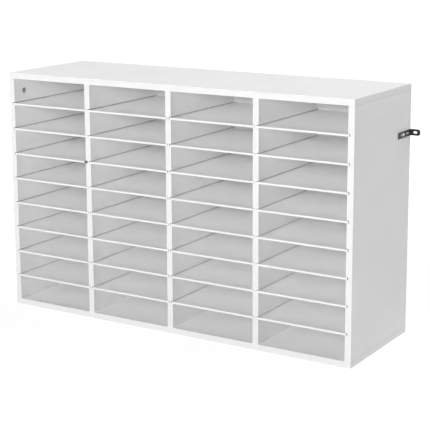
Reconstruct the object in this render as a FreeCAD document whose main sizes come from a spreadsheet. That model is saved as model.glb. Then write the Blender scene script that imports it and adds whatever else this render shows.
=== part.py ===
import FreeCAD, Part
import math
import os
import Sketcher

# A white flat-pack pigeonhole sorter for mail and papers: four columns of nine pigeonholes.
# Cam locks and dowels join the two side panels to the top panel, and long screws hold them
# from below. The three dividers stand in stopped housings in the top and bottom panels. Each
# column has its own back board, let into grooves all round, and eight loose shelves that slide
# in grooves and draw out at the front. A steel angle on each side panel ties it to a wall.
# Millimetres. The origin is the middle of the base: +X right, +Y back, +Z up, front at -Y.

SIZES = [
    ("width", 970, "outside, over the two side panels"),
    ("depth", 305, "front edges to rear edges"),
    ("height", 610, "underside to top"),
    ("columns", 4, "side by side"),
    ("rows", 9, "pigeonholes in a column"),
    ("board", 15, "thickness of the coated chipboard"),
    ("arris", 0.6, "flat on the outer edges of the carcass and the front edges of shelves"),

    ("shelf_thick", 5, "thickness of a shelf"),
    ("shelf_play", 2, "a shelf is this much shorter than the room between its grooves"),
    ("shelf_behind", 0.8, "gap between a shelf and the back board"),
    ("gap_1", 0.6, "gap at the right end of the shelves in column 1"),
    ("gap_2", 1.1, "gap at the right end of the shelves in column 2"),
    ("gap_3", 0.5, "gap at the right end of the shelves in column 3"),
    ("gap_4", 1.7, "gap at the right end of the shelves in column 4"),
    ("chip", 9, "leg of the corner knocked off one shelf"),
    ("groove_high", 6.5, "height of a shelf groove"),
    ("groove_deep", 5, "depth of every groove, for shelves and back boards"),

    ("housing_deep", 5, "how far a divider reaches into the top and bottom panels"),
    ("housing_play", 0.2, "a housing is this much wider and longer than the end of the divider"),
    ("housing_stop", 12, "from the front edge to the closed end of a housing"),

    ("back_thick", 3, "thickness of a back board"),
    ("back_slot", 3.4, "width of the groove that holds a back board"),
    ("back_inset", 10, "from the rear edges to that groove"),
    ("back_play", 1, "a back board is this much smaller than the room between its grooves"),

    ("front_fixing", 38.5, "from the front edge to the front cam lock, bolt and long screw"),
    ("rear_fixing", 256.5, "from the front edge to the rear cam lock, bolt and long screw"),

    ("cam_bore", 15, "diameter of the bore for a cam lock"),
    ("cam_wide", 14.8, "diameter of a cam lock"),
    ("cam_thick", 12.5, "thickness of a cam lock and depth of its bore"),
    ("cam_drop", 34, "from the top panel down to the middle of a cam lock"),
    ("cam_lip", 3.8, "solid face of a cam lock in front of its window"),
    ("cam_window", 7.4, "width of the window that takes the head of a bolt"),
    ("cam_hook", 4, "how far the window runs past the middle of the cam"),

    ("bolt_hole", 8, "hole for a bolt in the end of a side panel"),
    ("bolt_wide", 5, "diameter of a bolt"),
    ("bolt_seat", 5.2, "hole for its thread in the top panel"),
    ("bolt_in_top", 11, "length of the thread, and depth of its hole"),
    ("bolt_head", 6.6, "diameter of its head in the cam lock"),
    ("head_long", 6, "length of that head"),

    ("dowel_wide", 7.9, "diameter of a dowel"),
    ("dowel_long", 30, "length of a dowel"),
    ("dowel_hole", 8, "hole for a dowel"),
    ("dowel_in_top", 12, "depth of a dowel in the top panel"),
    ("dowel_in_side", 19, "depth of the dowel hole in a side panel"),

    ("screw_head", 9.6, "diameter of the countersunk head of a long screw"),
    ("screw_sunk", 0.2, "how far its head lies below the surface"),
    ("screw_core", 4.8, "diameter of the screw below its head"),
    ("screw_hole", 5.2, "hole for it in the bottom panel"),
    ("screw_sink", 10, "diameter of the countersink"),
    ("screw_pilot", 5, "hole for it in a side panel"),
    ("pilot_deep", 37, "depth of that hole"),
    ("screw_long", 50, "length of a long screw"),

    ("angle_thick", 1.5, "thickness of a wall angle"),
    ("angle_high", 15, "height of a wall angle"),
    ("angle_leg", 72, "leg along the side panel"),
    ("angle_foot", 25, "foot along the wall"),
    ("angle_bend", 1.5, "inner radius of the bend"),
    ("angle_round", 3, "radius of the corners"),
    ("angle_up", 494.5, "height of the middle of the wall angles"),
    ("slot_high", 5.5, "width of every slot"),
    ("rear_slot", 19, "length of the slot in the leg that is nearer the wall"),
    ("rear_slot_at", 18.5, "from the wall to the middle of that slot"),
    ("front_slot", 28.5, "length of the other slot in the leg"),
    ("front_slot_at", 45.3, "from the wall to the middle of that slot"),
    ("short_at", 47.2, "from the wall to the short screw in that slot"),
    ("wall_slot", 10, "length of the slot in the foot"),
    ("wall_slot_out", 12.7, "from the side panel to the middle of the slot in the foot"),

    ("pan_head", 7, "diameter of the head of a short screw"),
    ("pan_high", 2.4, "height of that head"),
    ("short_core", 3, "diameter of a short screw"),
    ("short_pilot", 3.1, "hole for a short screw"),
    ("short_long", 12, "length of a short screw under its head"),

    ("cross_long", 4.2, "length of the bars of a cross recess"),
    ("cross_wide", 0.9, "width of the bars of a cross recess"),
    ("cross_deep", 1.4, "depth of a cross recess"),
]

os.makedirs("parts", exist_ok=True)
doc = FreeCAD.newDocument("PigeonholeSorter")
sheet = doc.addObject("Spreadsheet::Sheet", "Sizes")
for line, (alias, size, meaning) in enumerate(SIZES, start=1):
    sheet.set(f"A{line}", alias)
    sheet.set(f"B{line}", str(size))
    sheet.set(f"C{line}", meaning)
    sheet.setAlias(f"B{line}", alias)
doc.recompute()

# Lengths that follow from the sheet, as expressions
COLUMN = "((Sizes.width - (Sizes.columns + 1) * Sizes.board) / Sizes.columns)"
UPRIGHT_STEP = f"({COLUMN} + Sizes.board)"
UPRIGHT_HIGH = "(Sizes.height - 2 * Sizes.board)"
PITCH = f"({UPRIGHT_HIGH} / Sizes.rows)"
LEFT = "(-Sizes.width / 2)"
FRONT = "(-Sizes.depth / 2)"
SIDE_STEP = "(Sizes.width - Sizes.board)"
BACK_SLOT_AT = "(Sizes.depth - Sizes.back_inset - Sizes.back_slot)"
BACK_BOARD_AT = f"({BACK_SLOT_AT} + (Sizes.back_slot - Sizes.back_thick) / 2)"
DOWEL_AT = "((Sizes.front_fixing + Sizes.rear_fixing) / 2)"

COLUMNS = int(sheet.columns)
ROWS = int(sheet.rows)
CHIPPED_SHELF = (1, 3)          # column and row of the shelf that lost a corner
FIXINGS = ("Sizes.front_fixing", "Sizes.rear_fixing")
COUNTERSINK_ANGLE = 90
PARTS = []


# ---- sketches and features ----

def value(expression):
    return float(sheet.evalExpression(expression))


def point(across, up):
    return FreeCAD.Vector(value(across), value(up), 0)


def place(item, x="0", y="0", z="0"):
    for axis, expression in zip("xyz", (x, y, z)):
        item.setExpression(f"Placement.Base.{axis}", expression)


def new_body(label, x="0", y="0", z="0"):
    body = doc.addObject("PartDesign::Body", label)
    body.Label = label
    place(body, x, y, z)
    return body


def sketch_on(body, plane, offset="0"):
    """A sketch on one of the body's own origin planes, moved along the plane's normal."""
    sketch = body.newObject("Sketcher::SketchObject", f"{body.Label}_sketch")
    datum = next(item for item in body.Origin.OriginFeatures if item.Role == plane)
    sketch.AttachmentSupport = [(datum, "")]
    sketch.MapMode = "FlatFace"
    sketch.setExpression("AttachmentOffset.Base.z", offset)
    return sketch


def dimension(sketch, kind, elements, expression):
    index = sketch.addConstraint(Sketcher.Constraint(kind, *elements, value(expression)))
    sketch.setExpression(f"Constraints[{index}]", expression)


def pin_point(sketch, element, vertex, across, up):
    """Ties a point of the sketch to its origin; a zero distance becomes an alignment."""
    for kind, level, expression in (("DistanceX", "Vertical", across), ("DistanceY", "Horizontal", up)):
        if expression == "0":
            sketch.addConstraint(Sketcher.Constraint(level, -1, 1, element, vertex))
        else:
            dimension(sketch, kind, (-1, 1, element, vertex), expression)


def closed_lines(sketch, corners):
    """Lines from corner to corner and back to the first; returns the number of the first."""
    first = sketch.GeometryCount
    for start, end in zip(corners, corners[1:] + corners[:1]):
        sketch.addGeometry(Part.LineSegment(start, end), False)
    for side in range(len(corners)):
        following = first + (side + 1) % len(corners)
        sketch.addConstraint(Sketcher.Constraint("Coincident", first + side, 2, following, 1))
    return first


def rectangle(sketch, across, up, wide, high):
    corner = point(across, up)
    along = FreeCAD.Vector(value(wide), 0, 0)
    upward = FreeCAD.Vector(0, value(high), 0)
    first = closed_lines(sketch, [corner, corner + along, corner + along + upward, corner + upward])
    for side, direction in enumerate(("Horizontal", "Vertical", "Horizontal", "Vertical")):
        sketch.addConstraint(Sketcher.Constraint(direction, first + side))
    dimension(sketch, "DistanceX", (first, 1, first, 2), wide)
    dimension(sketch, "DistanceY", (first + 1, 1, first + 1, 2), high)
    pin_point(sketch, first, 1, across, up)


def outline(sketch, corners):
    """A closed outline of straight sides through corners given as pairs of expressions."""
    first = closed_lines(sketch, [point(across, up) for across, up in corners])
    for side, (across, up) in enumerate(corners):
        pin_point(sketch, first + side, 1, across, up)


def circle(sketch, across, up, wide):
    round_hole = Part.Circle(point(across, up), FreeCAD.Vector(0, 0, 1), value(wide) / 2)
    index = sketch.addGeometry(round_hole, False)
    dimension(sketch, "Diameter", (index,), wide)
    pin_point(sketch, index, 3, across, up)


def slot(sketch, across, up, long, wide):
    """A round-ended slot along the sketch's horizontal axis, given by its middle."""
    radius = value(wide) / 2
    middle = point(across, up)
    half = FreeCAD.Vector(value(long) / 2 - radius, 0, 0)
    rise = FreeCAD.Vector(0, radius, 0)
    ends = [Part.Circle(middle + side * half, FreeCAD.Vector(0, 0, 1), radius) for side in (-1, 1)]
    first = sketch.GeometryCount
    sketch.addGeometry(Part.ArcOfCircle(ends[0], math.pi / 2, 3 * math.pi / 2), False)
    sketch.addGeometry(Part.LineSegment(middle - half - rise, middle + half - rise), False)
    sketch.addGeometry(Part.ArcOfCircle(ends[1], -math.pi / 2, math.pi / 2), False)
    sketch.addGeometry(Part.LineSegment(middle + half + rise, middle - half + rise), False)
    for side in range(4):
        following = first + (side + 1) % 4
        sketch.addConstraint(Sketcher.Constraint("Tangent", first + side, 2, following, 1))
    sketch.addConstraint(Sketcher.Constraint("Horizontal", first + 1))
    dimension(sketch, "Radius", (first,), f"{wide} / 2")
    dimension(sketch, "DistanceX", (first, 3, first + 2, 3), f"{long} - {wide}")
    pin_point(sketch, first, 3, f"{across} - ({long} - {wide}) / 2", up)


def finish_feature(body, kind, profile):
    feature = body.newObject(kind, f"{body.Label}_{kind.split('::')[1].lower()}")
    feature.Profile = profile
    body.Tip = feature
    return feature


def pad(body, profile, length):
    feature = finish_feature(body, "PartDesign::Pad", profile)
    feature.setExpression("Length", length)
    return feature


def pocket(body, profile, depth=None, against_normal=True):
    """Cuts to a depth, or right through when no depth is given."""
    feature = finish_feature(body, "PartDesign::Pocket", profile)
    feature.Reversed = not against_normal
    if depth is None:
        feature.Type = "ThroughAll"
    else:
        feature.setExpression("Length", depth)
    return feature


def revolve(body, profile, axis):
    feature = finish_feature(body, "PartDesign::Revolution", profile)
    feature.ReferenceAxis = (profile, [axis])
    feature.Angle = 360
    return feature


def repeat(body, feature, axis, step, count):
    """Repeats a feature along one of the body's own axes."""
    pattern = body.newObject("PartDesign::LinearPattern", f"{body.Label}_pattern")
    pattern.Originals = [feature]
    pattern.Direction = (next(item for item in body.Origin.OriginFeatures if item.Role == axis), [""])
    pattern.setExpression("Occurrences", count)
    pattern.setExpression("Length", f"{step} * ({count} - 1)")
    body.Tip = pattern


def dress_edges(body, kind, size_name, size, wanted):
    """A fillet or chamfer on the edges whose middle and direction satisfy a test."""
    doc.recompute()
    base = body.Tip
    names = []
    for number, edge in enumerate(base.Shape.Edges, start=1):
        run = edge.Vertexes[-1].Point - edge.Vertexes[0].Point
        if wanted(edge.CenterOfMass, run):
            names.append(f"Edge{number}")
    feature = body.newObject(kind, f"{body.Label}_{kind.split('::')[1].lower()}")
    feature.Base = (base, names)
    feature.setExpression(size_name, size)
    body.Tip = feature


def round_edges(body, radius, wanted):
    dress_edges(body, "PartDesign::Fillet", "Radius", radius, wanted)


def bevel_edges(body, size, wanted):
    dress_edges(body, "PartDesign::Chamfer", "Size", size, wanted)


def near(first, second):
    return abs(first - second) < 0.01


# ---- side panels and dividers ----

def cut_grooves(body, faces):
    """Shelf grooves from front to back and one upright groove for the back board, in each face."""
    lowest = sketch_on(body, "XZ_Plane")
    upright = sketch_on(body, "XY_Plane", "-Sizes.housing_deep")
    starts = {"left": "0", "right": "Sizes.board - Sizes.groove_deep"}
    for face in faces:
        rectangle(lowest, starts[face], f"{PITCH} - Sizes.groove_high / 2",
                  "Sizes.groove_deep", "Sizes.groove_high")
        rectangle(upright, starts[face], BACK_SLOT_AT, "Sizes.groove_deep", "Sizes.back_slot")
    repeat(body, pocket(body, lowest), "Z_Axis", PITCH, "Sizes.rows - 1")
    pocket(body, upright, against_normal=False)
    PARTS.append(body)


def make_divider(number):
    """A divider with grooves in both faces; behind its front edge both ends reach into housings."""
    body = new_body(f"divider_{number}", f"{LEFT} + {number} * {UPRIGHT_STEP}", FRONT, "Sizes.board")
    shoulder = "(Sizes.housing_stop + Sizes.housing_play)"
    low = "-Sizes.housing_deep"
    high = f"({UPRIGHT_HIGH} + Sizes.housing_deep)"
    side = sketch_on(body, "YZ_Plane")
    outline(side, [("0", "0"), (shoulder, "0"), (shoulder, low), ("Sizes.depth", low),
                   ("Sizes.depth", high), (shoulder, high), (shoulder, UPRIGHT_HIGH), ("0", UPRIGHT_HIGH)])
    pad(body, side, "Sizes.board")
    cut_grooves(body, ["left", "right"])


def make_side_panel(label, number, inner_face):
    """A side panel: grooves and cam bores in its inner face, a screw hole in its outer one."""
    body = new_body(label, f"{LEFT} + {number} * {UPRIGHT_STEP}", FRONT, "Sizes.board")
    side = sketch_on(body, "YZ_Plane")
    rectangle(side, "0", "0", "Sizes.depth", UPRIGHT_HIGH)
    pad(body, side, "Sizes.board")
    inner_on_right = inner_face == "right"
    outer = 0 if inner_on_right else value("Sizes.board")
    bevel_edges(body, "Sizes.arris",
                lambda middle, run: near(middle.x, outer) and near(run.Length, abs(run.z)))

    cams = sketch_on(body, "YZ_Plane", "Sizes.board" if inner_on_right else "0")
    bolts = sketch_on(body, "XY_Plane", UPRIGHT_HIGH)
    screws = sketch_on(body, "XY_Plane")
    for fixing in FIXINGS:
        circle(cams, fixing, f"{UPRIGHT_HIGH} - Sizes.cam_drop", "Sizes.cam_bore")
        circle(bolts, "Sizes.board / 2", fixing, "Sizes.bolt_hole")
        circle(screws, "Sizes.board / 2", fixing, "Sizes.screw_pilot")
    pocket(body, cams, "Sizes.cam_thick", against_normal=inner_on_right)
    pocket(body, bolts, "Sizes.cam_drop")
    pocket(body, screws, "Sizes.pilot_deep", against_normal=False)
    dowel_hole = sketch_on(body, "XY_Plane", UPRIGHT_HIGH)
    circle(dowel_hole, "Sizes.board / 2", DOWEL_AT, "Sizes.dowel_hole")
    pocket(body, dowel_hole, "Sizes.dowel_in_side")

    pilot = sketch_on(body, "YZ_Plane", "0" if inner_on_right else "Sizes.board")
    circle(pilot, "Sizes.depth - Sizes.short_at", "Sizes.angle_up - Sizes.board", "Sizes.short_pilot")
    pocket(body, pilot, "Sizes.short_long - Sizes.angle_thick", against_normal=not inner_on_right)
    cut_grooves(body, [inner_face])


# ---- top, bottom and back ----

def make_panel(label, height, inner_face_up):
    """A board with housings for the dividers and a stopped groove for the back boards."""
    body = new_body(label, LEFT, FRONT, height)
    plan = sketch_on(body, "XY_Plane")
    rectangle(plan, "0", "0", "Sizes.width", "Sizes.depth")
    pad(body, plan, "Sizes.board")
    outer = 0 if inner_face_up else value("Sizes.board")
    bevel_edges(body, "Sizes.arris",
                lambda middle, run: near(middle.z, outer) or near(run.Length, abs(run.z)))

    inner = "Sizes.board" if inner_face_up else "0"
    housing = sketch_on(body, "XY_Plane", inner)
    rectangle(housing, f"{UPRIGHT_STEP} - Sizes.housing_play / 2", "Sizes.housing_stop",
              "Sizes.board + Sizes.housing_play", "Sizes.depth - Sizes.housing_stop")
    first_housing = pocket(body, housing, "Sizes.housing_deep", against_normal=inner_face_up)
    repeat(body, first_housing, "X_Axis", UPRIGHT_STEP, "Sizes.columns - 1")

    groove = sketch_on(body, "XY_Plane", inner)
    stop = "(Sizes.board - Sizes.groove_deep)"
    rectangle(groove, stop, BACK_SLOT_AT, f"Sizes.width - 2 * {stop}", "Sizes.back_slot")
    pocket(body, groove, "Sizes.groove_deep", against_normal=inner_face_up)
    PARTS.append(body)
    return body


def make_top_panel():
    """The top panel: blind holes for bolts and dowels over both side panels."""
    body = make_panel("top_panel", "Sizes.height - Sizes.board", inner_face_up=False)
    holes = (("Sizes.bolt_seat", "Sizes.bolt_in_top", FIXINGS),
             ("Sizes.dowel_hole", "Sizes.dowel_in_top", [DOWEL_AT]))
    for wide, deep, rows in holes:
        sketch = sketch_on(body, "XY_Plane")
        for row in rows:
            circle(sketch, "Sizes.board / 2", row, wide)
        hole = pocket(body, sketch, deep, against_normal=False)
        repeat(body, hole, "X_Axis", SIDE_STEP, "2")


def make_bottom_panel():
    """The bottom panel: countersunk holes for the long screws under both side panels."""
    body = make_panel("bottom_panel", "0", inner_face_up=True)
    sketch = sketch_on(body, "XY_Plane")
    for row in FIXINGS:
        circle(sketch, "Sizes.board / 2", row, "Sizes.screw_hole")
    doc.recompute()
    hole = finish_feature(body, "PartDesign::Hole", sketch)
    hole.Reversed = True
    hole.DepthType = "ThroughAll"
    hole.Threaded = False
    hole.setExpression("Diameter", "Sizes.screw_hole")
    hole.HoleCutType = "Countersink"
    hole.HoleCutCustomValues = True
    hole.setExpression("HoleCutDiameter", "Sizes.screw_sink")
    hole.HoleCutCountersinkAngle = COUNTERSINK_ANGLE
    repeat(body, hole, "X_Axis", SIDE_STEP, "2")


def make_back_board(column):
    edge = "(Sizes.groove_deep - Sizes.back_play / 2)"
    body = new_body(f"back_board_{column}",
                    f"{LEFT} + {column - 1} * {UPRIGHT_STEP} + Sizes.board - {edge}",
                    f"{FRONT} + {BACK_BOARD_AT}",
                    f"Sizes.board - {edge}")
    plan = sketch_on(body, "XY_Plane")
    rectangle(plan, "0", "0", f"{COLUMN} + 2 * {edge}", "Sizes.back_thick")
    pad(body, plan, f"{UPRIGHT_HIGH} + 2 * {edge}")
    PARTS.append(body)


# ---- shelves ----

def make_shelf(column, row):
    """One loose shelf, lying on the floor of its two grooves; row 1 is the highest."""
    body = new_body(f"shelf_c{column}_r{row}",
                    f"{LEFT} + {column - 1} * {UPRIGHT_STEP} + Sizes.board - Sizes.groove_deep"
                    f" + Sizes.shelf_play - Sizes.gap_{column}",
                    FRONT,
                    f"Sizes.board + (Sizes.rows - {row}) * {PITCH} - Sizes.groove_high / 2")
    long = f"({COLUMN} + 2 * Sizes.groove_deep - Sizes.shelf_play)"
    plan = sketch_on(body, "XY_Plane")
    rectangle(plan, "0", "0", long, f"{BACK_BOARD_AT} - Sizes.shelf_behind")
    pad(body, plan, "Sizes.shelf_thick")
    if (column, row) == CHIPPED_SHELF:
        end = value(long)
        bevel_edges(body, "Sizes.chip", lambda middle, run: near(middle.x, end) and near(middle.y, 0))
    bevel_edges(body, "Sizes.arris",
                lambda middle, run: near(middle.y, 0) and near(run.Length, abs(run.x)))
    PARTS.append(body)


# ---- cam locks, bolts, dowels and screws ----

def cross_recess(body, plane, offset="0", against_normal=True):
    """Two crossed bars cut into the middle of a head, for a screwdriver."""
    bars = (("Sizes.cross_long", "Sizes.cross_wide"), ("Sizes.cross_wide", "Sizes.cross_long"))
    for wide, high in bars:
        sketch = sketch_on(body, plane, offset)
        rectangle(sketch, f"-{wide} / 2", f"-{high} / 2", wide, high)
        pocket(body, sketch, "Sizes.cross_deep", against_normal)


def cam_lock():
    """A cam lock with its face at the origin, facing -X, its window open at the top."""
    body = new_body("cam_lock_pattern")
    disc = sketch_on(body, "YZ_Plane")
    circle(disc, "0", "0", "Sizes.cam_wide")
    pad(body, disc, "Sizes.cam_thick")
    window = sketch_on(body, "XZ_Plane")
    rectangle(window, "Sizes.cam_lip", "-Sizes.cam_hook", "Sizes.cam_window", "Sizes.cam_bore")
    pocket(body, window, "Sizes.cam_window").SideType = "Symmetric"
    cross_recess(body, "YZ_Plane", against_normal=False)
    return body


def cam_bolt():
    """A bolt that screws into the top panel above the origin; its head hangs in the cam lock."""
    body = new_body("cam_bolt_pattern")
    half = sketch_on(body, "XZ_Plane")
    head_top = "(Sizes.head_long / 2 - Sizes.cam_drop)"
    head_end = "(-Sizes.head_long / 2 - Sizes.cam_drop)"
    outline(half, [("0", "Sizes.bolt_in_top"), ("0", head_end),
                   ("Sizes.bolt_head / 2", head_end), ("Sizes.bolt_head / 2", head_top),
                   ("Sizes.bolt_wide / 2", head_top), ("Sizes.bolt_wide / 2", "Sizes.bolt_in_top")])
    revolve(body, half, "V_Axis")
    return body


def dowel():
    """A dowel across the joint at the origin."""
    body = new_body("dowel_pattern")
    end = sketch_on(body, "XY_Plane", "Sizes.dowel_in_top - Sizes.dowel_long")
    circle(end, "0", "0", "Sizes.dowel_wide")
    pad(body, end, "Sizes.dowel_long")
    return body


def long_screw():
    """A countersunk screw that stands on its head at the origin and points up."""
    body = new_body("long_screw_pattern")
    half = sketch_on(body, "XZ_Plane")
    cone = "(Sizes.screw_head - Sizes.screw_core) / 2"
    outline(half, [("0", "Sizes.screw_long"), ("0", "Sizes.screw_sunk"),
                   ("Sizes.screw_head / 2", "Sizes.screw_sunk"),
                   ("Sizes.screw_core / 2", f"Sizes.screw_sunk + {cone}"),
                   ("Sizes.screw_core / 2", "Sizes.screw_long")])
    revolve(body, half, "V_Axis")
    return body


def short_screw():
    """A pan-head screw with the underside of its head at the origin, pointing towards -X."""
    body = new_body("short_screw_pattern")
    half = sketch_on(body, "XY_Plane")
    outline(half, [("Sizes.pan_high", "0"), ("Sizes.pan_high", "Sizes.pan_head / 2"),
                   ("0", "Sizes.pan_head / 2"), ("0", "Sizes.short_core / 2"),
                   ("-Sizes.short_long", "Sizes.short_core / 2"), ("-Sizes.short_long", "0")])
    revolve(body, half, "H_Axis")
    cross_recess(body, "YZ_Plane", "Sizes.pan_high")
    return body


def group_of(label, pattern, places):
    """A group of separate copies of one fastener; each place is x, y, z and a turn about +Z."""
    copies = []
    for number, (x, y, z, turn) in enumerate(places, start=1):
        copy = doc.addObject("App::Link", f"{label}_{number}")
        copy.LinkedObject = pattern
        copy.Placement.Rotation = FreeCAD.Rotation(FreeCAD.Vector(0, 0, 1), turn)
        place(copy, x, y, z)
        copies.append(copy)
    group = doc.addObject("Part::Compound", label)
    group.Label = label
    group.Links = copies
    PARTS.append(group)


def make_hardware():
    """All fasteners, on both side panels; those on the left panel are turned half round."""
    middle = f"({SIDE_STEP} / 2)"
    inner_face = f"({middle} - Sizes.board / 2)"
    angle_face = f"({middle} + Sizes.board / 2 + Sizes.angle_thick)"
    joint = "Sizes.height - Sizes.board"
    fixings = [f"{FRONT} + {fixing}" for fixing in FIXINGS]
    angle_row = f"{FRONT} + Sizes.depth - Sizes.short_at"
    fasteners = (
        ("cam_locks", cam_lock(), inner_face, fixings, f"{joint} - Sizes.cam_drop"),
        ("cam_bolts", cam_bolt(), middle, fixings, joint),
        ("dowels", dowel(), middle, [f"{FRONT} + {DOWEL_AT}"], joint),
        ("long_screws", long_screw(), middle, fixings, "0"),
        ("angle_screws", short_screw(), angle_face, [angle_row], "Sizes.angle_up"),
    )
    for label, pattern, x, rows, z in fasteners:
        right = [(x, y, z, 0) for y in rows]
        left = [(f"-{x}", y, z, 180) for y in rows]
        group_of(label, pattern, right + left)


# ---- wall angles ----

def make_wall_angle(label, side):
    """A bent steel angle: the leg lies on a side panel, the foot against the wall."""
    body = new_body(label, f"{side} * Sizes.width / 2", "Sizes.depth / 2",
                    f"Sizes.angle_up - {side} * Sizes.angle_high / 2")
    if side < 0:
        body.Placement.Rotation = FreeCAD.Rotation(FreeCAD.Vector(0, 1, 0), 180)
    plan = sketch_on(body, "XY_Plane")
    outline(plan, [("0", "0"), ("0", "-Sizes.angle_leg"), ("Sizes.angle_thick", "-Sizes.angle_leg"),
                   ("Sizes.angle_thick", "-Sizes.angle_thick"),
                   ("Sizes.angle_foot", "-Sizes.angle_thick"), ("Sizes.angle_foot", "0")])
    pad(body, plan, "Sizes.angle_high")

    foot_slot = sketch_on(body, "XZ_Plane")
    slot(foot_slot, "Sizes.wall_slot_out", "Sizes.angle_high / 2", "Sizes.wall_slot", "Sizes.slot_high")
    pocket(body, foot_slot, "Sizes.angle_thick", against_normal=False)
    leg_slots = sketch_on(body, "YZ_Plane")
    for name in ("rear_slot", "front_slot"):
        slot(leg_slots, f"-Sizes.{name}_at", "Sizes.angle_high / 2", f"Sizes.{name}", "Sizes.slot_high")
    pocket(body, leg_slots, "Sizes.angle_thick", against_normal=False)

    thick = value("Sizes.angle_thick")
    round_edges(body, "Sizes.angle_bend",
                lambda middle, run: near(middle.x, thick) and near(middle.y, -thick))
    round_edges(body, "Sizes.angle_bend + Sizes.angle_thick",
                lambda middle, run: near(middle.x, 0) and near(middle.y, 0))
    leg_end = -value("Sizes.angle_leg")
    foot_end = value("Sizes.angle_foot")
    round_edges(body, "Sizes.angle_round",
                lambda middle, run: (near(middle.y, leg_end) and near(run.Length, abs(run.x)))
                or (near(middle.x, foot_end) and near(run.Length, abs(run.y))))
    PARTS.append(body)


# ---- the whole sorter ----

make_side_panel("left_side_panel", 0, "right")
make_side_panel("right_side_panel", COLUMNS, "left")
for number in range(1, COLUMNS):
    make_divider(number)
make_top_panel()
make_bottom_panel()
for column in range(1, COLUMNS + 1):
    make_back_board(column)
    for row in range(1, ROWS):
        make_shelf(column, row)
make_hardware()
make_wall_angle("wall_angle_right", 1)
make_wall_angle("wall_angle_left", -1)
doc.recompute()

for item in doc.Objects:
    if "Invalid" in item.State or "Error" in item.State:
        raise RuntimeError(f"{item.Label} has failed: {item.State}")
    if item.TypeId in ("PartDesign::Pocket", "PartDesign::Hole"):
        if item.Shape.Volume >= item.BaseFeature.Shape.Volume - 0.1:
            raise RuntimeError(f"{item.Label} cuts nothing")
for part in PARTS:
    if part.Shape.isNull() or not part.Shape.isValid():
        raise RuntimeError(f"{part.Label} has no valid shape")
    part.Shape.exportStep(f"parts/{part.Label}.step")
print(f"{len(PARTS)} nodes, {sum(len(part.Shape.Solids) for part in PARTS)} solids")
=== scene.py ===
import math
import bpy
from mathutils import Matrix, Vector


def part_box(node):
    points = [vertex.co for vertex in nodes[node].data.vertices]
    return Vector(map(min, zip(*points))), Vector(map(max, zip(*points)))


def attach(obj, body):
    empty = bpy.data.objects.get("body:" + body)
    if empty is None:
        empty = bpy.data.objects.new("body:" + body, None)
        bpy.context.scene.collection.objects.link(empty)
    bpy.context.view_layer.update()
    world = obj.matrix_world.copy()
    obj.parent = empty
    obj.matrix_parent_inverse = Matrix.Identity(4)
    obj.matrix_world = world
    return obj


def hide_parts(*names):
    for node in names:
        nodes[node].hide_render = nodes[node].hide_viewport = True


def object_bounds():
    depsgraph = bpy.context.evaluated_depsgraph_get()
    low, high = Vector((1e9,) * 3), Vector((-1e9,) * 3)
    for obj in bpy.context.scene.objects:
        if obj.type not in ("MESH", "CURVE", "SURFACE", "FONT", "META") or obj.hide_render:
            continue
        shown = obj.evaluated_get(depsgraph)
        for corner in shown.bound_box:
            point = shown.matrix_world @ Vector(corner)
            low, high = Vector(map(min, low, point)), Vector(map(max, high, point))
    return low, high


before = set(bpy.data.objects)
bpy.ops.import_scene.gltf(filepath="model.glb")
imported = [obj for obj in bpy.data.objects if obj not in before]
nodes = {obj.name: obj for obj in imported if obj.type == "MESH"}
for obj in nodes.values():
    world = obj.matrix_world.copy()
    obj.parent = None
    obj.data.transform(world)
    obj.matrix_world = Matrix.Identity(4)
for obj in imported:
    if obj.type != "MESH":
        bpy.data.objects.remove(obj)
cadLow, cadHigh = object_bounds()
mm = 0.001               # the model is in metres
print("frame loaded:", len(nodes), "nodes")


# camera first, so that every later stage can be looked at

camera = {
    "place": (1.668, -2.6275, 1.001),
    "pitch": 11.38,          # degrees below the horizon
    "yaw": 31.86,            # degrees to the left of straight ahead
    "roll": 0.27,
    "lens": 107.16,
    "sensor": 36,
    "shiftUp": -0.10,
}


def setUpCamera():
    data = bpy.data.cameras.new("camera")
    data.lens = camera["lens"]
    data.sensor_width = camera["sensor"]
    data.shift_y = camera["shiftUp"]
    item = bpy.data.objects.new("camera", data)
    bpy.context.scene.collection.objects.link(item)
    turn = Matrix.Rotation(math.radians(camera["yaw"]), 4, "Z")
    turn = turn @ Matrix.Rotation(math.radians(90 - camera["pitch"]), 4, "X")
    turn = turn @ Matrix.Rotation(math.radians(-camera["roll"]), 4, "Z")
    item.matrix_world = Matrix.Translation(camera["place"]) @ turn
    bpy.context.scene.camera = item


setUpCamera()
print("camera placed")


# shader helpers

def addNode(tree, kind, inputs=None, **settings):
    node = tree.nodes.new(kind)
    for name, setting in settings.items():
        setattr(node, name, setting)
    for name, given in (inputs or {}).items():
        if isinstance(given, bpy.types.NodeSocket):
            tree.links.new(given, node.inputs[name])
        else:
            node.inputs[name].default_value = given
    return node


def compute(tree, operation, *values):
    return addNode(tree, "ShaderNodeMath", dict(enumerate(values)), operation=operation).outputs[0]


def computeVector(tree, operation, *values, output=0):
    node = addNode(tree, "ShaderNodeVectorMath", dict(enumerate(values)), operation=operation)
    return node.outputs[output]


def splitVector(tree, vector):
    return addNode(tree, "ShaderNodeSeparateXYZ", {0: vector}).outputs


def leastOf(tree, first, *others):
    for other in others:
        first = compute(tree, "MINIMUM", first, other)
    return first


def ramp(tree, value, low, high, lowOut=0.0, highOut=1.0):
    inputs = {"Value": value, "From Min": low, "From Max": high, "To Min": lowOut, "To Max": highOut}
    return addNode(tree, "ShaderNodeMapRange", inputs, clamp=True).outputs[0]


def blendValue(tree, mask, first, second):
    return addNode(tree, "ShaderNodeMix", {0: mask, 2: first, 3: second}).outputs[0]


def blendColour(tree, mask, first, second):
    return addNode(tree, "ShaderNodeMix", {0: mask, 6: first, 7: second}, data_type="RGBA").outputs[2]


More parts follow.
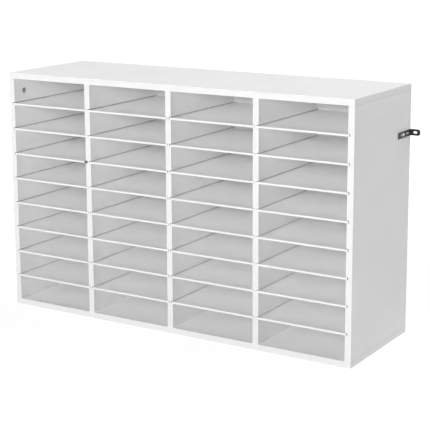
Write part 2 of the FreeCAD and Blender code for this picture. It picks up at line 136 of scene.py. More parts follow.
def noise(tree, position, scale, detail, roughness):
    inputs = {"Vector": position, "Scale": scale, "Detail": detail, "Roughness": roughness}
    return addNode(tree, "ShaderNodeTexNoise", inputs).outputs["Fac"]


def newGroup(name, inputs, outputs):
    group = bpy.data.node_groups.new(name, "ShaderNodeTree")
    for label, kind in inputs:
        group.interface.new_socket(label, in_out="INPUT", socket_type=kind)
    for label, kind in outputs:
        group.interface.new_socket(label, in_out="OUTPUT", socket_type=kind)
    return group, group.nodes.new("NodeGroupInput").outputs, group.nodes.new("NodeGroupOutput").inputs


def useGroup(tree, group, inputs):
    return addNode(tree, "ShaderNodeGroup", inputs, node_tree=group).outputs


def turnedTo(tree, direction):
    # 1 on the faces that look in the direction, 0 on the others
    normal = tree.nodes.new("ShaderNodeTexCoord").outputs["Normal"]
    share = computeVector(tree, "DOT_PRODUCT", normal, direction, output=1)
    return compute(tree, "GREATER_THAN", share, 0.5)


floatSocket = "NodeSocketFloat"
vectorSocket = "NodeSocketVector"
colourSocket = "NodeSocketColor"

cloudRange = (0.3, 0.7)      # the middle part of a noise, which is where nearly all of it lies
speckRange = (0.66, 0.76)    # its peaks
gapRange = (0.45, 0.75)      # how far from the middle of a flake the gap beside it begins


def grey(level):
    return (level, level, level, 1)


speckFineness = 2.3          # how much finer than the grain the specks are


def makeGrainGroup():
    # Height is the fine relief, Cloud the slow change of tone and Speck single darker fibres
    group, given, out = newGroup(
        "surfaceGrain",
        [("Position", vectorSocket), ("Grain Scale", floatSocket), ("Cloud Scale", floatSocket)],
        [("Height", floatSocket), ("Cloud", floatSocket), ("Speck", floatSocket)])
    fine = noise(group, given["Position"], given["Grain Scale"], detail=3.0, roughness=0.6)
    cloud = noise(group, given["Position"], given["Cloud Scale"], detail=4.0, roughness=0.55)
    speckScale = compute(group, "MULTIPLY", given["Grain Scale"], speckFineness)
    speck = noise(group, given["Position"], speckScale, detail=1.0, roughness=0.4)
    group.links.new(fine, out["Height"])
    group.links.new(cloud, out["Cloud"])
    group.links.new(ramp(group, speck, *speckRange), out["Speck"])
    return group


def makeBoardGroup():
    # from a board's own box: where its surface is cut into the core, how far the edge with
    # banding is, and which of its faces are the broad ones
    group, given, out = newGroup(
        "boardPlaces",
        [("Position", vectorSocket), ("Centre", vectorSocket), ("Half Size", vectorSocket),
         ("Thin Axis", vectorSocket), ("Plain Ends", vectorSocket), ("Skin", floatSocket)],
        [("Cut", floatSocket), ("Edge Distance", floatSocket), ("Broad Face", floatSocket)])
    offset = computeVector(group, "SUBTRACT", given["Position"], given["Centre"])
    offset = computeVector(group, "ABSOLUTE", offset)
    depth = computeVector(group, "SUBTRACT", given["Half Size"], offset)
    shallow = leastOf(group, *splitVector(group, depth))
    group.links.new(compute(group, "GREATER_THAN", shallow, given["Skin"]), out["Cut"])

    thinDepth = computeVector(group, "DOT_PRODUCT", depth, given["Thin Axis"], output=1)
    group.links.new(compute(group, "LESS_THAN", thinDepth, given["Skin"]), out["Broad Face"])
    # adding 1, a whole metre, leaves the thin axis and the plain ends out
    banded = computeVector(group, "ADD", depth, given["Thin Axis"])
    banded = computeVector(group, "ADD", banded, given["Plain Ends"])
    group.links.new(leastOf(group, *splitVector(group, banded)), out["Edge Distance"])
    return group


# raw chipboard tones, darker than real chipboard: painted shade for the narrow grooves they line
chipboard = {
    "darkFlake": (0.08, 0.068, 0.053, 1),
    "paleFlake": (0.16, 0.135, 0.104, 1),
    "gap": (0.04, 0.034, 0.027, 1),
}


def makeChipboardGroup():
    # the raw core that saw cuts lay open: pressed wood flakes with dark gaps
    group, given, out = newGroup(
        "chipboardCore",
        [("Position", vectorSocket), ("Flake Scale", floatSocket)],
        [("Colour", colourSocket), ("Height", floatSocket)])
    flakes = addNode(group, "ShaderNodeTexVoronoi", {
        "Vector": given["Position"], "Scale": given["Flake Scale"], "Randomness": 1.0}).outputs
    tone = addNode(group, "ShaderNodeSeparateColor", {0: flakes["Color"]}).outputs[0]
    flake = blendColour(group, tone, chipboard["darkFlake"], chipboard["paleFlake"])
    gap = ramp(group, flakes["Distance"], *gapRange)
    group.links.new(blendColour(group, gap, flake, chipboard["gap"]), out["Colour"])
    group.links.new(compute(group, "SUBTRACT", 1.0, gap), out["Height"])
    return group


fibreboard = {
    "stretch": (1.0, 1.0, 2.6),      # the fibres lie flat, so they are finer in height
    "slowScale": 0.02,               # a slow change of tone, as a share of the fibres' scale
    "slowShare": 0.25,
}


def makeFibreGroup():
    # bare thin fibreboard: felted fibres, a shade darker where they are pressed hardest
    group, given, out = newGroup(
        "fibreCore",
        [("Position", vectorSocket), ("Fibre Scale", floatSocket),
         ("Dark", colourSocket), ("Pale", colourSocket)],
        [("Colour", colourSocket), ("Height", floatSocket)])
    stretched = computeVector(group, "MULTIPLY", given["Position"], fibreboard["stretch"])
    fibres = noise(group, stretched, given["Fibre Scale"], detail=5.0, roughness=0.7)
    slowScale = compute(group, "MULTIPLY", given["Fibre Scale"], fibreboard["slowScale"])
    slow = noise(group, given["Position"], slowScale, detail=2.0, roughness=0.5)
    tone = ramp(group, blendValue(group, fibreboard["slowShare"], fibres, slow), *cloudRange)
    group.links.new(blendColour(group, tone, given["Dark"], given["Pale"]), out["Colour"])
    group.links.new(fibres, out["Height"])
    return group


surfaceGrain = makeGrainGroup()
boardPlaces = makeBoardGroup()
chipboardCore = makeChipboardGroup()
fibreCore = makeFibreGroup()


def startMaterial(name):
    material = bpy.data.materials.new(name)
    material.use_nodes = True
    tree = material.node_tree
    shader = tree.nodes["Principled BSDF"]
    position = tree.nodes.new("ShaderNodeTexCoord").outputs["Object"]
    return material, tree, shader, position


def addBump(tree, shader, height, distance):
    bump = addNode(tree, "ShaderNodeBump", {"Height": height, "Distance": distance, "Strength": 1.0})
    tree.links.new(bump.outputs[0], shader.inputs["Normal"])


def useGrain(tree, position, finish):
    return useGroup(tree, surfaceGrain, {
        "Position": position, "Grain Scale": finish["grainScale"], "Cloud Scale": finish["cloudScale"]})


def whiteFace(tree, grain, finish):
    # the written white, a shade greyer in its clouds and specks
    shade = ramp(tree, grain["Cloud"], *cloudRange, 0.0, finish["cloudShare"])
    shade = compute(tree, "ADD", shade, compute(tree, "MULTIPLY", grain["Speck"], finish["speckShare"]))
    return blendColour(tree, shade, grey(finish["white"]), grey(0.0))


def coatCore(tree, shader, finish, bare, coating, roughness, grain, core):
    # the coating, and the raw core wherever bare is 1
    tree.links.new(blendColour(tree, bare, coating, core["Colour"]), shader.inputs["Base Color"])
    rough = blendValue(tree, bare, roughness, finish["coreRoughness"])
    tree.links.new(rough, shader.inputs["Roughness"])
    addBump(tree, shader, blendValue(tree, bare, grain["Height"], core["Height"]), finish["relief"])


def giveMaterial(piece, material):
    piece.data.materials.clear()
    piece.data.materials.append(material)


# coated chipboard of the carcass

carcassFinish = {
    "white": 0.93,
    "band": 0.88,             # the edging
    "shadedFrontBand": 0.82,        # the edging that faces the front, a painted shade darker than the other edging against the stronger light it gets
    "bandThick": 0.8 * mm,
    "jointTone": 0.55,        # the line between edging and coating
    "jointWide": 0.16 * mm,
    "seamWide": 0.9 * mm,     # painted shadow, and dust, where an upright meets the panel over or under it
    "seamFull": 0.36 * mm,
    "seamTone": 0.60,
    "skin": 0.7 * mm,         # what lies deeper in the board's box is a cut into the core
    "cloudShare": 0.028,
    "speckShare": 0.04,
    "grainScale": 900.0,
    "cloudScale": 7.0,
    "roughness": (0.40, 0.50),
    "bandRoughness": 0.32,
    "coreRoughness": 0.9,
    "relief": 0.035 * mm,
    "flakeScale": 520.0,
}


def makeCarcassMaterial(name, thinAxis, plainEnds):
    finish = carcassFinish
    material, tree, shader, position = startMaterial(f"melamine_{name}")
    low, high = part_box(name)
    places = useGroup(tree, boardPlaces, {
        "Position": position, "Centre": (low + high) / 2, "Half Size": (high - low) / 2,
        "Thin Axis": thinAxis, "Plain Ends": plainEnds, "Skin": finish["skin"]})
    grain = useGrain(tree, position, finish)
    core = useGroup(tree, chipboardCore, {"Position": position, "Flake Scale": finish["flakeScale"]})

    broad, front = places["Broad Face"], turnedTo(tree, (0, -1, 0))
    # the edging that faces the front takes a painted shade, darker than the edging on the other sides
    edging = blendColour(tree, front, grey(finish["band"]), grey(finish["shadedFrontBand"]))
    banded = blendColour(tree, broad, edging, whiteFace(tree, grain, finish))
    offLine = compute(tree, "SUBTRACT", places["Edge Distance"], finish["bandThick"])
    line = ramp(tree, compute(tree, "ABSOLUTE", offLine), 0.0, finish["jointWide"], 1.0, 0.0)
    line = compute(tree, "MULTIPLY", line, broad)
    coated = blendColour(tree, line, banded, grey(finish["jointTone"]))
    # a darker line at the upper and lower ends: painted shadow and dust along the seam
    if plainEnds[2]:
        up = splitVector(tree, position)[2]
        fromLow, fromHigh = compute(tree, "SUBTRACT", up, low.z), compute(tree, "SUBTRACT", high.z, up)
        fromEnd = leastOf(tree, fromLow, fromHigh)
        seam = ramp(tree, fromEnd, finish["seamFull"], finish["seamWide"], 1.0, 0.0)
        coated = blendColour(tree, seam, coated, grey(finish["seamTone"]))

    faceRough = ramp(tree, grain["Cloud"], *cloudRange, *finish["roughness"])
    rough = blendValue(tree, broad, finish["bandRoughness"], faceRough)
    coatCore(tree, shader, finish, places["Cut"], coated, rough, grain, core)
    return material


boardAxes = {
    "upright": ((1, 0, 0), (0, 0, 1)),     # thin across, plain at the upper and lower ends
    "lying": ((0, 0, 1), (0, 0, 0)),       # thin in height, banded all round
}


def dressCarcass():
    for name in sorted(nodes):
        if name.endswith("side_panel") or name.startswith("divider"):
            giveMaterial(nodes[name], makeCarcassMaterial(name, *boardAxes["upright"]))
        elif name in ("top_panel", "bottom_panel"):
            giveMaterial(nodes[name], makeCarcassMaterial(name, *boardAxes["lying"]))


dressCarcass()
print("carcass dressed")


# loose shelves of lacquered fibreboard

shelfFinish = {
    "white": 0.94,            # the lacquer is whiter than the coated boards
    "front": 0.86,            # the front edge, a painted shade darker than the faces against the stronger light it gets
    "grainScale": 1300.0,
    "cloudScale": 11.0,
    "cloudShare": 0.022,
    "speckShare": 0.02,
    "roughness": (0.34, 0.44),
    "coreRoughness": 0.85,
    "relief": 0.012 * mm,
    "fibreScale": 1500.0,
    # the bare fibre is darker than real fibreboard: painted shade for the narrow gaps in the grooves
    # and the chip where it shows
    "fibreDark": (0.075, 0.062, 0.050, 1),
    "fibrePale": (0.145, 0.122, 0.100, 1),
}


def useFibre(tree, position, finish):
    return useGroup(tree, fibreCore, {"Position": position, "Fibre Scale": finish["fibreScale"],
                                      "Dark": finish["fibreDark"], "Pale": finish["fibrePale"]})


def makeShelfMaterial():
    finish = shelfFinish
    material, tree, shader, position = startMaterial("lacqueredShelf")
    grain = useGrain(tree, position, finish)
    left, right, rear = (turnedTo(tree, way) for way in ((-1, 0, 0), (1, 0, 0), (0, 1, 0)))
    bare = compute(tree, "MAXIMUM", compute(tree, "MAXIMUM", left, right), rear)
    # the front edge takes a painted shade, darker than the lacquered faces
    front = turnedTo(tree, (0, -1, 0))
    coated = blendColour(tree, front, whiteFace(tree, grain, finish), grey(finish["front"]))
    rough = ramp(tree, grain["Cloud"], *cloudRange, *finish["roughness"])
    coatCore(tree, shader, finish, bare, coated, rough, grain, useFibre(tree, position, finish))
    return material


# back boards: white lacquer in front, bare fibreboard behind

backFinish = {
    "white": 0.92,
    "grainScale": 1100.0,
    "cloudScale": 6.0,
    "cloudShare": 0.03,
    "speckShare": 0.0,
    "roughness": (0.40, 0.52),
    "coreRoughness": 0.8,
    "relief": 0.02 * mm,
    "fibreScale": 900.0,
    "fibreDark": (0.25, 0.175, 0.11, 1),
    "fibrePale": (0.40, 0.30, 0.20, 1),
}


def makeBackMaterial():
    finish = backFinish
    material, tree, shader, position = startMaterial("lacqueredBack")
    grain = useGrain(tree, position, finish)
    bare = compute(tree, "SUBTRACT", 1.0, turnedTo(tree, (0, -1, 0)))
    rough = ramp(tree, grain["Cloud"], *cloudRange, *finish["roughness"])
    face = whiteFace(tree, grain, finish)
    coatCore(tree, shader, finish, bare, face, rough, grain, useFibre(tree, position, finish))
    return material


def dressThinBoards():
    shelfMaterial = makeShelfMaterial()
    backMaterial = makeBackMaterial()
    for name, node in nodes.items():
        if name.startswith("shelf"):
            giveMaterial(node, shelfMaterial)
        elif name.startswith("back_board"):
            giveMaterial(node, backMaterial)


dressThinBoards()
print("shelves and back boards dressed")


# metal and wood of the small parts

metalFinishes = {
    "castZinc": {
        "colour": (0.80, 0.80, 0.81, 1),
        "dull": 0.30,         # how far the cloudy places turn to the dull tone
        "grainScale": 2600.0,
        "cloudScale": 325.0,
        "roughness": (0.42, 0.60),
        "relief": 0.03 * mm,
        "plainTo": 0.4 * mm,  # below the face
        "grimeAndShadeFrom": 0.9 * mm,
        "grimeAndShadeTone": 0.05,
    },
    "platedSteel": {
        "colour": (0.88, 0.89, 0.90, 1),
        "dull": 0.10,
        "grainScale": 1800.0,
        "cloudScale": 225.0,
        "roughness": (0.34, 0.46),
        "relief": 0.006 * mm,
    },
}

dullTone = 0.12


def makeMetalMaterial(name, faceAt=None):
    # faceAt is how far out the visible faces lie: what lies deeper is painted dark, as grime and as
    # painted shade in the recesses
    finish = metalFinishes[name]
    material, tree, shader, position = startMaterial(name)
    shader.inputs["Metallic"].default_value = 1.0
    grain = useGrain(tree, position, finish)
    dull = ramp(tree, grain["Cloud"], *cloudRange, 0.0, finish["dull"])
    tone = blendColour(tree, dull, finish["colour"], grey(dullTone))
    # the recesses below the face are painted darker: grime and painted shade
    if faceAt is not None:
        across = compute(tree, "ABSOLUTE", splitVector(tree, position)[0])
        depth = compute(tree, "SUBTRACT", across, faceAt)
        grimeAndShade = ramp(tree, depth, finish["plainTo"], finish["grimeAndShadeFrom"])
        tone = blendColour(tree, grimeAndShade, tone, grey(finish["grimeAndShadeTone"]))
    tree.links.new(tone, shader.inputs["Base Color"])
    rough = ramp(tree, grain["Cloud"], *cloudRange, *finish["roughness"])
    tree.links.new(rough, shader.inputs["Roughness"])
    addBump(tree, shader, grain["Height"], finish["relief"])
    return material


powderFinish = {
    "black": 0.012,
    "dusty": 0.030,
    "dustRange": (0.35, 0.7),
    "grainScale": 2200.0,
    "cloudScale": 160.0,
    "roughness": (0.48, 0.60),
    "relief": 0.06 * mm,
}


def makePowderMaterial():
    finish = powderFinish
    material, tree, shader, position = startMaterial("blackPowderCoat")
    grain = useGrain(tree, position, finish)
    cloud = ramp(tree, grain["Cloud"], *finish["dustRange"])
    dusty = blendColour(tree, cloud, grey(finish["black"]), grey(finish["dusty"]))
    tree.links.new(dusty, shader.inputs["Base Color"])
    rough = ramp(tree, grain["Cloud"], *cloudRange, *finish["roughness"])
    tree.links.new(rough, shader.inputs["Roughness"])
    addBump(tree, shader, grain["Height"], finish["relief"])
    return material


beechFinish = {
    "pale": (0.66, 0.47, 0.30, 1),
    "dark": (0.50, 0.33, 0.19, 1),
    "scale": 700.0,
    "stretch": (1.0, 1.0, 0.08),     # the grain runs along the dowel
    "grainRange": (0.35, 0.65),
    "roughness": 0.7,
    "relief": 0.02 * mm,
}


def makeBeechMaterial():
    finish = beechFinish
    material, tree, shader, position = startMaterial("beech")
    stretched = computeVector(tree, "MULTIPLY", position, finish["stretch"])
    grain = noise(tree, stretched, finish["scale"], detail=4.0, roughness=0.6)
    tone = blendColour(tree, ramp(tree, grain, *finish["grainRange"]), finish["pale"], finish["dark"])
    tree.links.new(tone, shader.inputs["Base Color"])
    shader.inputs["Roughness"].default_value = finish["roughness"]
    addBump(tree, shader, grain, finish["relief"])
    return material


camThick = 12.5 * mm
castZinc = makeMetalMaterial("castZinc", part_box("cam_locks")[1].x - camThick)
platedSteel = makeMetalMaterial("platedSteel")
blackPowder = makePowderMaterial()
giveMaterial(nodes["cam_locks"], castZinc)
for name in ("cam_bolts", "long_screws", "angle_screws"):
    giveMaterial(nodes[name], platedSteel)
giveMaterial(nodes["dowels"], makeBeechMaterial())
for name in ("wall_angle_left", "wall_angle_right"):
    giveMaterial(nodes[name], blackPowder)
print("small parts dressed")


# modelling helpers for the detailed fasteners

def startMesh(addPrimitive, name, **settings):
    bpy.ops.object.select_all(action="DESELECT")
    addPrimitive(**settings)
    piece = bpy.context.object
    piece.name = name
    bpy.ops.object.transform_apply(location=True, rotation=True, scale=True)
    return piece


def startBox(name, centre, size):
    return startMesh(bpy.ops.mesh.primitive_cube_add, name, size=1, location=centre, scale=size)


def startDisk(name, radius, thick, sides):
    # a disk across X, from 0 to its thickness
    return startMesh(bpy.ops.mesh.primitive_cylinder_add, name, vertices=sides, radius=radius,
                     depth=thick, location=(thick / 2, 0, 0), rotation=(0, math.pi / 2, 0))


def pickFaces(piece, wanted):
    # leaves the piece in edit mode with the wanted faces selected
    bpy.ops.object.mode_set(mode="EDIT")
    bpy.ops.mesh.select_mode(type="FACE")
    bpy.ops.mesh.select_all(action="DESELECT")
    bpy.ops.object.mode_set(mode="OBJECT")
    for face in piece.data.polygons:
        face.select = wanted(face)
    bpy.ops.object.mode_set(mode="EDIT")


def leaveEdit():
    bpy.ops.object.mode_set(mode="OBJECT")


def drawOut(way):
    bpy.ops.mesh.extrude_region_move(TRANSFORM_OT_translate={"value": way})


def selectOnly(piece):
    bpy.ops.object.select_all(action="DESELECT")
    piece.select_set(True)
    bpy.context.view_layer.objects.active = piece


def applyTool(piece, kind, **settings):
    selectOnly(piece)
    tool = piece.modifiers.new(kind.lower(), kind)
    for name, setting in settings.items():
        setattr(tool, name, setting)
    bpy.ops.object.modifier_apply(modifier=tool.name)


def cutAway(piece, cutter):
    applyTool(piece, "BOOLEAN", operation="DIFFERENCE", solver="EXACT", object=cutter)
    bpy.data.objects.remove(cutter)


def cutWithBox(piece, centre, size):
    cutAway(piece, startBox("cutter", centre, size))


def cutCross(piece, centre, size, axis):
    # a cross recess, cut in along the axis
    arm = [size["crossLong"], size["crossWide"]]
    for extent in (arm, arm[::-1]):
        extent.insert(axis, 2 * size["crossDeep"])
        cutWithBox(piece, centre, extent)


def placeCopies(pattern, places, node, material, turnAxis="Z"):
    # each place is a name, a point and a turn in degrees about the axis
    for name, point, turn in places:
        copy = pattern.copy()
        copy.data = pattern.data.copy()
        copy.name = name
        bpy.context.scene.collection.objects.link(copy)
        turned = Matrix.Rotation(math.radians(turn), 4, turnAxis)
        copy.data.transform(Matrix.Translation(point) @ turned)
        giveMaterial(copy, material)
        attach(copy, "carcass")
        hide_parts(node or name.removesuffix("_bent"))
    bpy.data.objects.remove(pattern)


def finishShading(piece, angle=35):
    selectOnly(piece)
    bpy.ops.object.shade_smooth_by_angle(angle=math.radians(angle))
    for face in piece.data.polygons:
        if len(face.vertices) > 4:      # the large cut faces are flat
            face.use_smooth = False


# cam locks in the side panels

camLock = {
    "rim": 1.3 * mm,
    "rimRound": 0.35 * mm,
    "dish": 1.6 * mm,
    "hub": 1.7 * mm,          # from the rim to the raised middle
    "hubHigh": 1.28 * mm,
    "crossLong": 4.2 * mm,
    "crossWide": 1.2 * mm,
    "crossDeep": 2.2 * mm,
    "windowFrom": 3.8 * mm,   # the window that takes the bolt's head
    "windowWide": 7.4 * mm,
    "windowLow": 4.0 * mm,
    "markSize": 1.2 * mm,     # notch in the rim over the window
    "sides": 64,
}


def makeCamLocks():
    size = camLock
    low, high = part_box("cam_locks")
    radius = (high.z - low.z) / 2
    # the face that shows looks along -X: a rounded rim, a dish and a raised middle
    piece = startDisk("camLockPattern", radius, camThick, size["sides"])
    pickFaces(piece, lambda face: face.normal.x < -0.9)
    bpy.ops.mesh.bevel(offset=size["rimRound"], segments=2, affect="EDGES")
    pickFaces(piece, lambda face: face.normal.x < -0.95 and face.area > radius * radius)
    bpy.ops.mesh.inset(thickness=size["rim"])
    drawOut((size["dish"], 0, 0))
    bpy.ops.mesh.inset(thickness=size["hub"])
    drawOut((-size["hubHigh"], 0, 0))
    leaveEdit()
    window = radius * 2 + size["windowLow"]
    cutWithBox(piece, (size["windowFrom"] + size["windowWide"] / 2, 0, window / 2 - size["windowLow"]),
               (size["windowWide"], size["windowWide"], window))
    cutCross(piece, (0, 0, 0), size, 0)
    cutWithBox(piece, (0, 0, radius), (size["dish"], size["markSize"], 2 * size["rim"]))
    finishShading(piece)
    rows = {"front": low.y + radius, "rear": high.y - radius}
    height = (low.z + high.z) / 2
    sides = {"right": (high.x - camThick, 0), "left": (low.x + camThick, 180)}
    places = [(f"cam_lock_{row}_{side}", (x, y, height), turn)
              for side, (x, turn) in sides.items() for row, y in rows.items()]
    placeCopies(piece, places, "cam_locks", castZinc)


makeCamLocks()
print("cam locks made")


# screws

tipShare = 0.15              # how much of its thickness a screw keeps at its tip

shortScrew = {
    "headHigh": 2.4 * mm,
    "headRound": 1.5 * mm,
    "core": 1.5 * mm,
    "length": 12 * mm,
    "tip": 2.5 * mm,
    "crossLong": 4.0 * mm,
    "crossWide": 0.8 * mm,
    "crossDeep": 1.3 * mm,
    "sides": 48,
}

longScrew = {
    "head": 4.8 * mm,
    "core": 2.4 * mm,
    "tip": 4 * mm,
    "crossLong": 6.0 * mm,
    "crossWide": 1.2 * mm,
    "crossDeep": 2.4 * mm,
    "sides": 48,
}


def makeShortScrews():
    size = shortScrew
    low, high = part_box("angle_screws")
    radius = (high.z - low.z) / 2
    head = size["headHigh"]
    # a domed head that looks along +X, with the shank and its tip drawn out behind
    piece = startDisk("shortScrewPattern", radius, head, size["sides"])
    pickFaces(piece, lambda face: face.normal.x > 0.9)
    bpy.ops.mesh.bevel(offset=size["headRound"], segments=6, profile=0.5, affect="EDGES")
    pickFaces(piece, lambda face: face.normal.x < -0.9)
    bpy.ops.mesh.inset(thickness=radius - size["core"])
    drawOut((size["tip"] - size["length"], 0, 0))
    drawOut((-size["tip"], 0, 0))
    bpy.ops.transform.resize(value=(1, tipShare, tipShare))
    leaveEdit()
    cutCross(piece, (head, 0, 0), size, 0)
    finishShading(piece)
    middle = (low + high) / 2
    places = [("angle_screw_right", (high.x - head, middle.y, middle.z), 0),
              ("angle_screw_left", (low.x + head, middle.y, middle.z), 180)]
    placeCopies(piece, places, "angle_screws", platedSteel)


def makeLongScrews():
    size = longScrew
    low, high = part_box("long_screws")
    radius = size["head"]
    cone = radius - size["core"]
    length = high.z - low.z
    # a countersunk head that looks down, with the shank and its tip drawn out above
    piece = startMesh(bpy.ops.mesh.primitive_cone_add, "longScrewPattern", vertices=size["sides"],
                      radius1=radius, radius2=size["core"], depth=cone, location=(0, 0, cone / 2))
    pickFaces(piece, lambda face: face.normal.z > 0.9)
    shank = length - cone - size["tip"]
    drawOut((0, 0, shank))
    drawOut((0, 0, size["tip"]))
    bpy.ops.transform.resize(value=(tipShare, tipShare, 1))
    leaveEdit()
    cutCross(piece, (0, 0, 0), size, 2)
    finishShading(piece)
    columns = {"right": high.x - radius, "left": low.x + radius}
    rows = {"front": low.y + radius, "rear": high.y - radius}
    places = [(f"long_screw_{row}_{side}", (x, y, low.z), 0)
              for side, x in columns.items() for row, y in rows.items()]
    placeCopies(piece, places, "long_screws", platedSteel)


makeShortScrews()
makeLongScrews()
print("screws made")


# wall angles

wallAngle = {
    "thick": 1.5 * mm,
    "bend": 1.5 * mm,         # radius on the inside and on the outside
    "legRound": 3.0 * mm,
    "footRound": 5.5 * mm,
    "slotHigh": 5.5 * mm,
    "slotRound": 2.7445 * mm,     # just under half the slot's height, so that the arcs don't meet
    "footSlot": (12.7 * mm, 10 * mm),     # from the bend to the slot's middle, and its length
    "legSlots": ((18.5 * mm, 19 * mm), (45.3 * mm, 28.5 * mm)),
    "near": 0.05 * mm,        # an edge that lies nearer than this to a place is at it
}

samePoint = 0.001 * mm       # points that lie nearer than this to one another become one


def pickEdges(piece, wanted):
    # wanted is asked about each edge's middle and its way from end to end
    selectOnly(piece)
    bpy.ops.object.mode_set(mode="EDIT")
    bpy.ops.mesh.select_mode(type="EDGE")
    bpy.ops.mesh.select_all(action="DESELECT")
    bpy.ops.object.mode_set(mode="OBJECT")
    points = piece.data.vertices
    for edge in piece.data.edges:
        first, second = (points[index].co for index in edge.vertices)
        edge.select = wanted((first + second) / 2, second - first)
    bpy.ops.object.mode_set(mode="EDIT")


def roundEdges(piece, radius, steps, wanted):
    pickEdges(piece, wanted)
    bpy.ops.mesh.bevel(offset=radius, segments=steps, affect="EDGES")
    bpy.ops.mesh.select_all(action="SELECT")
    bpy.ops.mesh.remove_doubles(threshold=samePoint)
    leaveEdit()


def makeWallAngles():
    size = wallAngle
    low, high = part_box("wall_angle_right")
    foot, leg, tall = high.x - low.x, high.y - low.y, high.z - low.z
    thick, bend, near = size["thick"], size["bend"], size["near"]
    # the leg, and the foot drawn out of its rear end
    piece = startBox("wallAnglePattern", (thick / 2, -leg / 2, 0), (thick, leg, tall))
    bpy.ops.object.mode_set(mode="EDIT")
    bpy.ops.mesh.select_all(action="SELECT")
    bpy.ops.mesh.bisect(plane_co=(0, -thick, 0), plane_no=(0, 1, 0))
    leaveEdit()
    pickFaces(piece, lambda face: face.normal.x > 0.9 and face.center.y > -thick)
    drawOut((foot - thick, 0, 0))
    leaveEdit()

    inner = Vector((thick, -thick))
    roundEdges(piece, bend, 6,
               lambda middle, way: abs(way.z) > tall * 0.9 and middle.xy.length < near)
    roundEdges(piece, bend, 5,
               lambda middle, way: abs(way.z) > tall * 0.9 and (middle.xy - inner).length < near)
    roundEdges(piece, size["legRound"], 6,
               lambda middle, way: abs(way.x) > thick * 0.9 and middle.y < near - leg)
    roundEdges(piece, size["footRound"], 8,
               lambda middle, way: abs(way.y) > thick * 0.9 and middle.x > foot - near)

    through, slotHigh = 3 * thick, size["slotHigh"]
    footAt, footLong = size["footSlot"]
    slots = [((footAt, -thick / 2, 0), (footLong, through, slotHigh))]
    slots += [((thick / 2, -legAt, 0), (through, legLong, slotHigh))
              for legAt, legLong in size["legSlots"]]
    for centre, extent in slots:
        axis = extent.index(through)
        cutter = startBox("slotCutter", centre, extent)
        roundEdges(cutter, size["slotRound"], 6, lambda middle, way: abs(way[axis]) > thick)
        cutAway(piece, cutter)
    finishShading(piece, 30)

    middle = (low.z + high.z) / 2
    places = [("wall_angle_right_bent", (low.x, high.y, middle), 0),
              ("wall_angle_left_bent", (-low.x, high.y, middle), 180)]
    placeCopies(piece, places, None, blackPowder, "Y")


makeWallAngles()
print("wall angles made")


# floor, light and background

stageSet = {
    "floorSize": 40.0,
    "floorWhite": 0.85,
    "floorGlow": 0.88,        # what the camera sees besides the shaded part
    "farFrom": (0.8, 2.2),    # over this distance the floor turns fully white
    "floorShaded": 0.20,
    "worldLight": 0.1,
    "worldWhite": 1.0,
    "bounces": 24,            # light goes to and fro many times between white boards
}

lamps = {                     # a lamp without gloss leaves no glare on the boards
    "keyLamp": {"place": (-3.96, -5.25, 2.69), "size": 0.8, "power": 45, "gloss": True},
    "frontLamp": {"place": (0.94, -6.71, 2.05), "size": 0.9, "power": 278, "gloss": False},
    "upperLamp": {"place": (2.84, -6.1, 2.23), "size": 2.4, "power": 53, "gloss": False},
    "sideLamp": {"place": (4.65, 1.69, 5.25), "size": 3.6, "power": 68, "gloss": True},
    "rearLamp": {"place": (1.0, 3.6, 6.2), "size": 5.0, "power": 248, "gloss": True},
    "leftLamp": {"place": (-6.83, 1.2, 1.27), "size": 2.5, "power": 95, "gloss": True},
}


def seenDirectly(tree):
    rays = tree.nodes.new("ShaderNodeLightPath").outputs
    seen = compute(tree, "ADD", rays["Is Camera Ray"], rays["Is Glossy Ray"])
    return compute(tree, "MINIMUM", compute(tree, "ADD", seen, rays["Is Transmission Ray"]), 1.0)


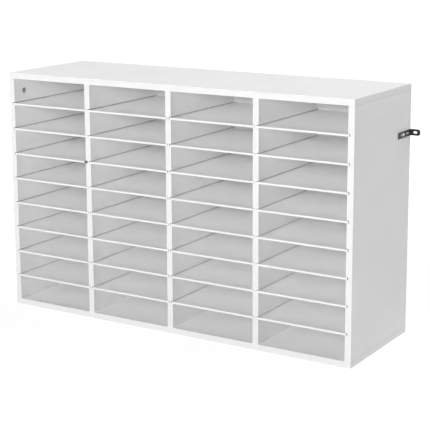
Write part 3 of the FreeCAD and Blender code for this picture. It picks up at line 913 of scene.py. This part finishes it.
def makeFloor():
    bpy.ops.object.select_all(action="DESELECT")
    bpy.ops.mesh.primitive_plane_add(size=stageSet["floorSize"], location=(0, 0, cadLow.z))
    floor = bpy.context.object
    floor.name = "floor"
    material = bpy.data.materials.new("paleFloor")
    material.use_nodes = True
    tree = material.node_tree
    tree.nodes.remove(tree.nodes["Principled BSDF"])
    plain = addNode(tree, "ShaderNodeBsdfDiffuse", {"Color": grey(stageSet["floorWhite"])})
    shaded = addNode(tree, "ShaderNodeBsdfDiffuse", {"Color": grey(stageSet["floorShaded"])})
    spot = tree.nodes.new("ShaderNodeTexCoord").outputs["Object"]
    away = computeVector(tree, "LENGTH", spot, output=1)
    level = ramp(tree, away, *stageSet["farFrom"], stageSet["floorGlow"], 1.0)
    glow = addNode(tree, "ShaderNodeEmission", {"Color": grey(1.0), "Strength": level})
    seen = addNode(tree, "ShaderNodeAddShader", {0: shaded.outputs[0], 1: glow.outputs[0]})
    mixed = addNode(tree, "ShaderNodeMixShader", {
        0: seenDirectly(tree), 1: plain.outputs[0], 2: seen.outputs[0]})
    tree.links.new(mixed.outputs[0], tree.nodes["Material Output"].inputs["Surface"])
    floor.data.materials.append(material)


def makeWorld():
    world = bpy.data.worlds.new("studio")
    bpy.context.scene.world = world
    world.use_nodes = True
    tree = world.node_tree
    light = tree.nodes["Background"]
    light.inputs["Color"].default_value = grey(1.0)
    light.inputs["Strength"].default_value = stageSet["worldLight"]
    backdrop = addNode(tree, "ShaderNodeBackground", {
        "Color": grey(1.0), "Strength": stageSet["worldWhite"]})
    mixed = addNode(tree, "ShaderNodeMixShader", {
        0: seenDirectly(tree), 1: light.outputs[0], 2: backdrop.outputs[0]})
    tree.links.new(mixed.outputs[0], tree.nodes["World Output"].inputs["Surface"])


def makeLamps():
    middle = (cadLow + cadHigh) / 2
    for name, lamp in lamps.items():
        data = bpy.data.lights.new(name, "AREA")
        data.shape = "DISK"
        data.size = lamp["size"]
        data.energy = lamp["power"]
        item = bpy.data.objects.new(name, data)
        bpy.context.scene.collection.objects.link(item)
        item.visible_glossy = lamp["gloss"]
        item.location = lamp["place"]
        item.rotation_euler = (middle - item.location).to_track_quat("-Z", "Y").to_euler()


makeFloor()
makeWorld()
makeLamps()
bpy.context.scene.view_settings.view_transform = "Standard"
bpy.context.scene.cycles.max_bounces = stageSet["bounces"]
bpy.context.scene.cycles.diffuse_bounces = stageSet["bounces"]
print("floor, world and lamps set")
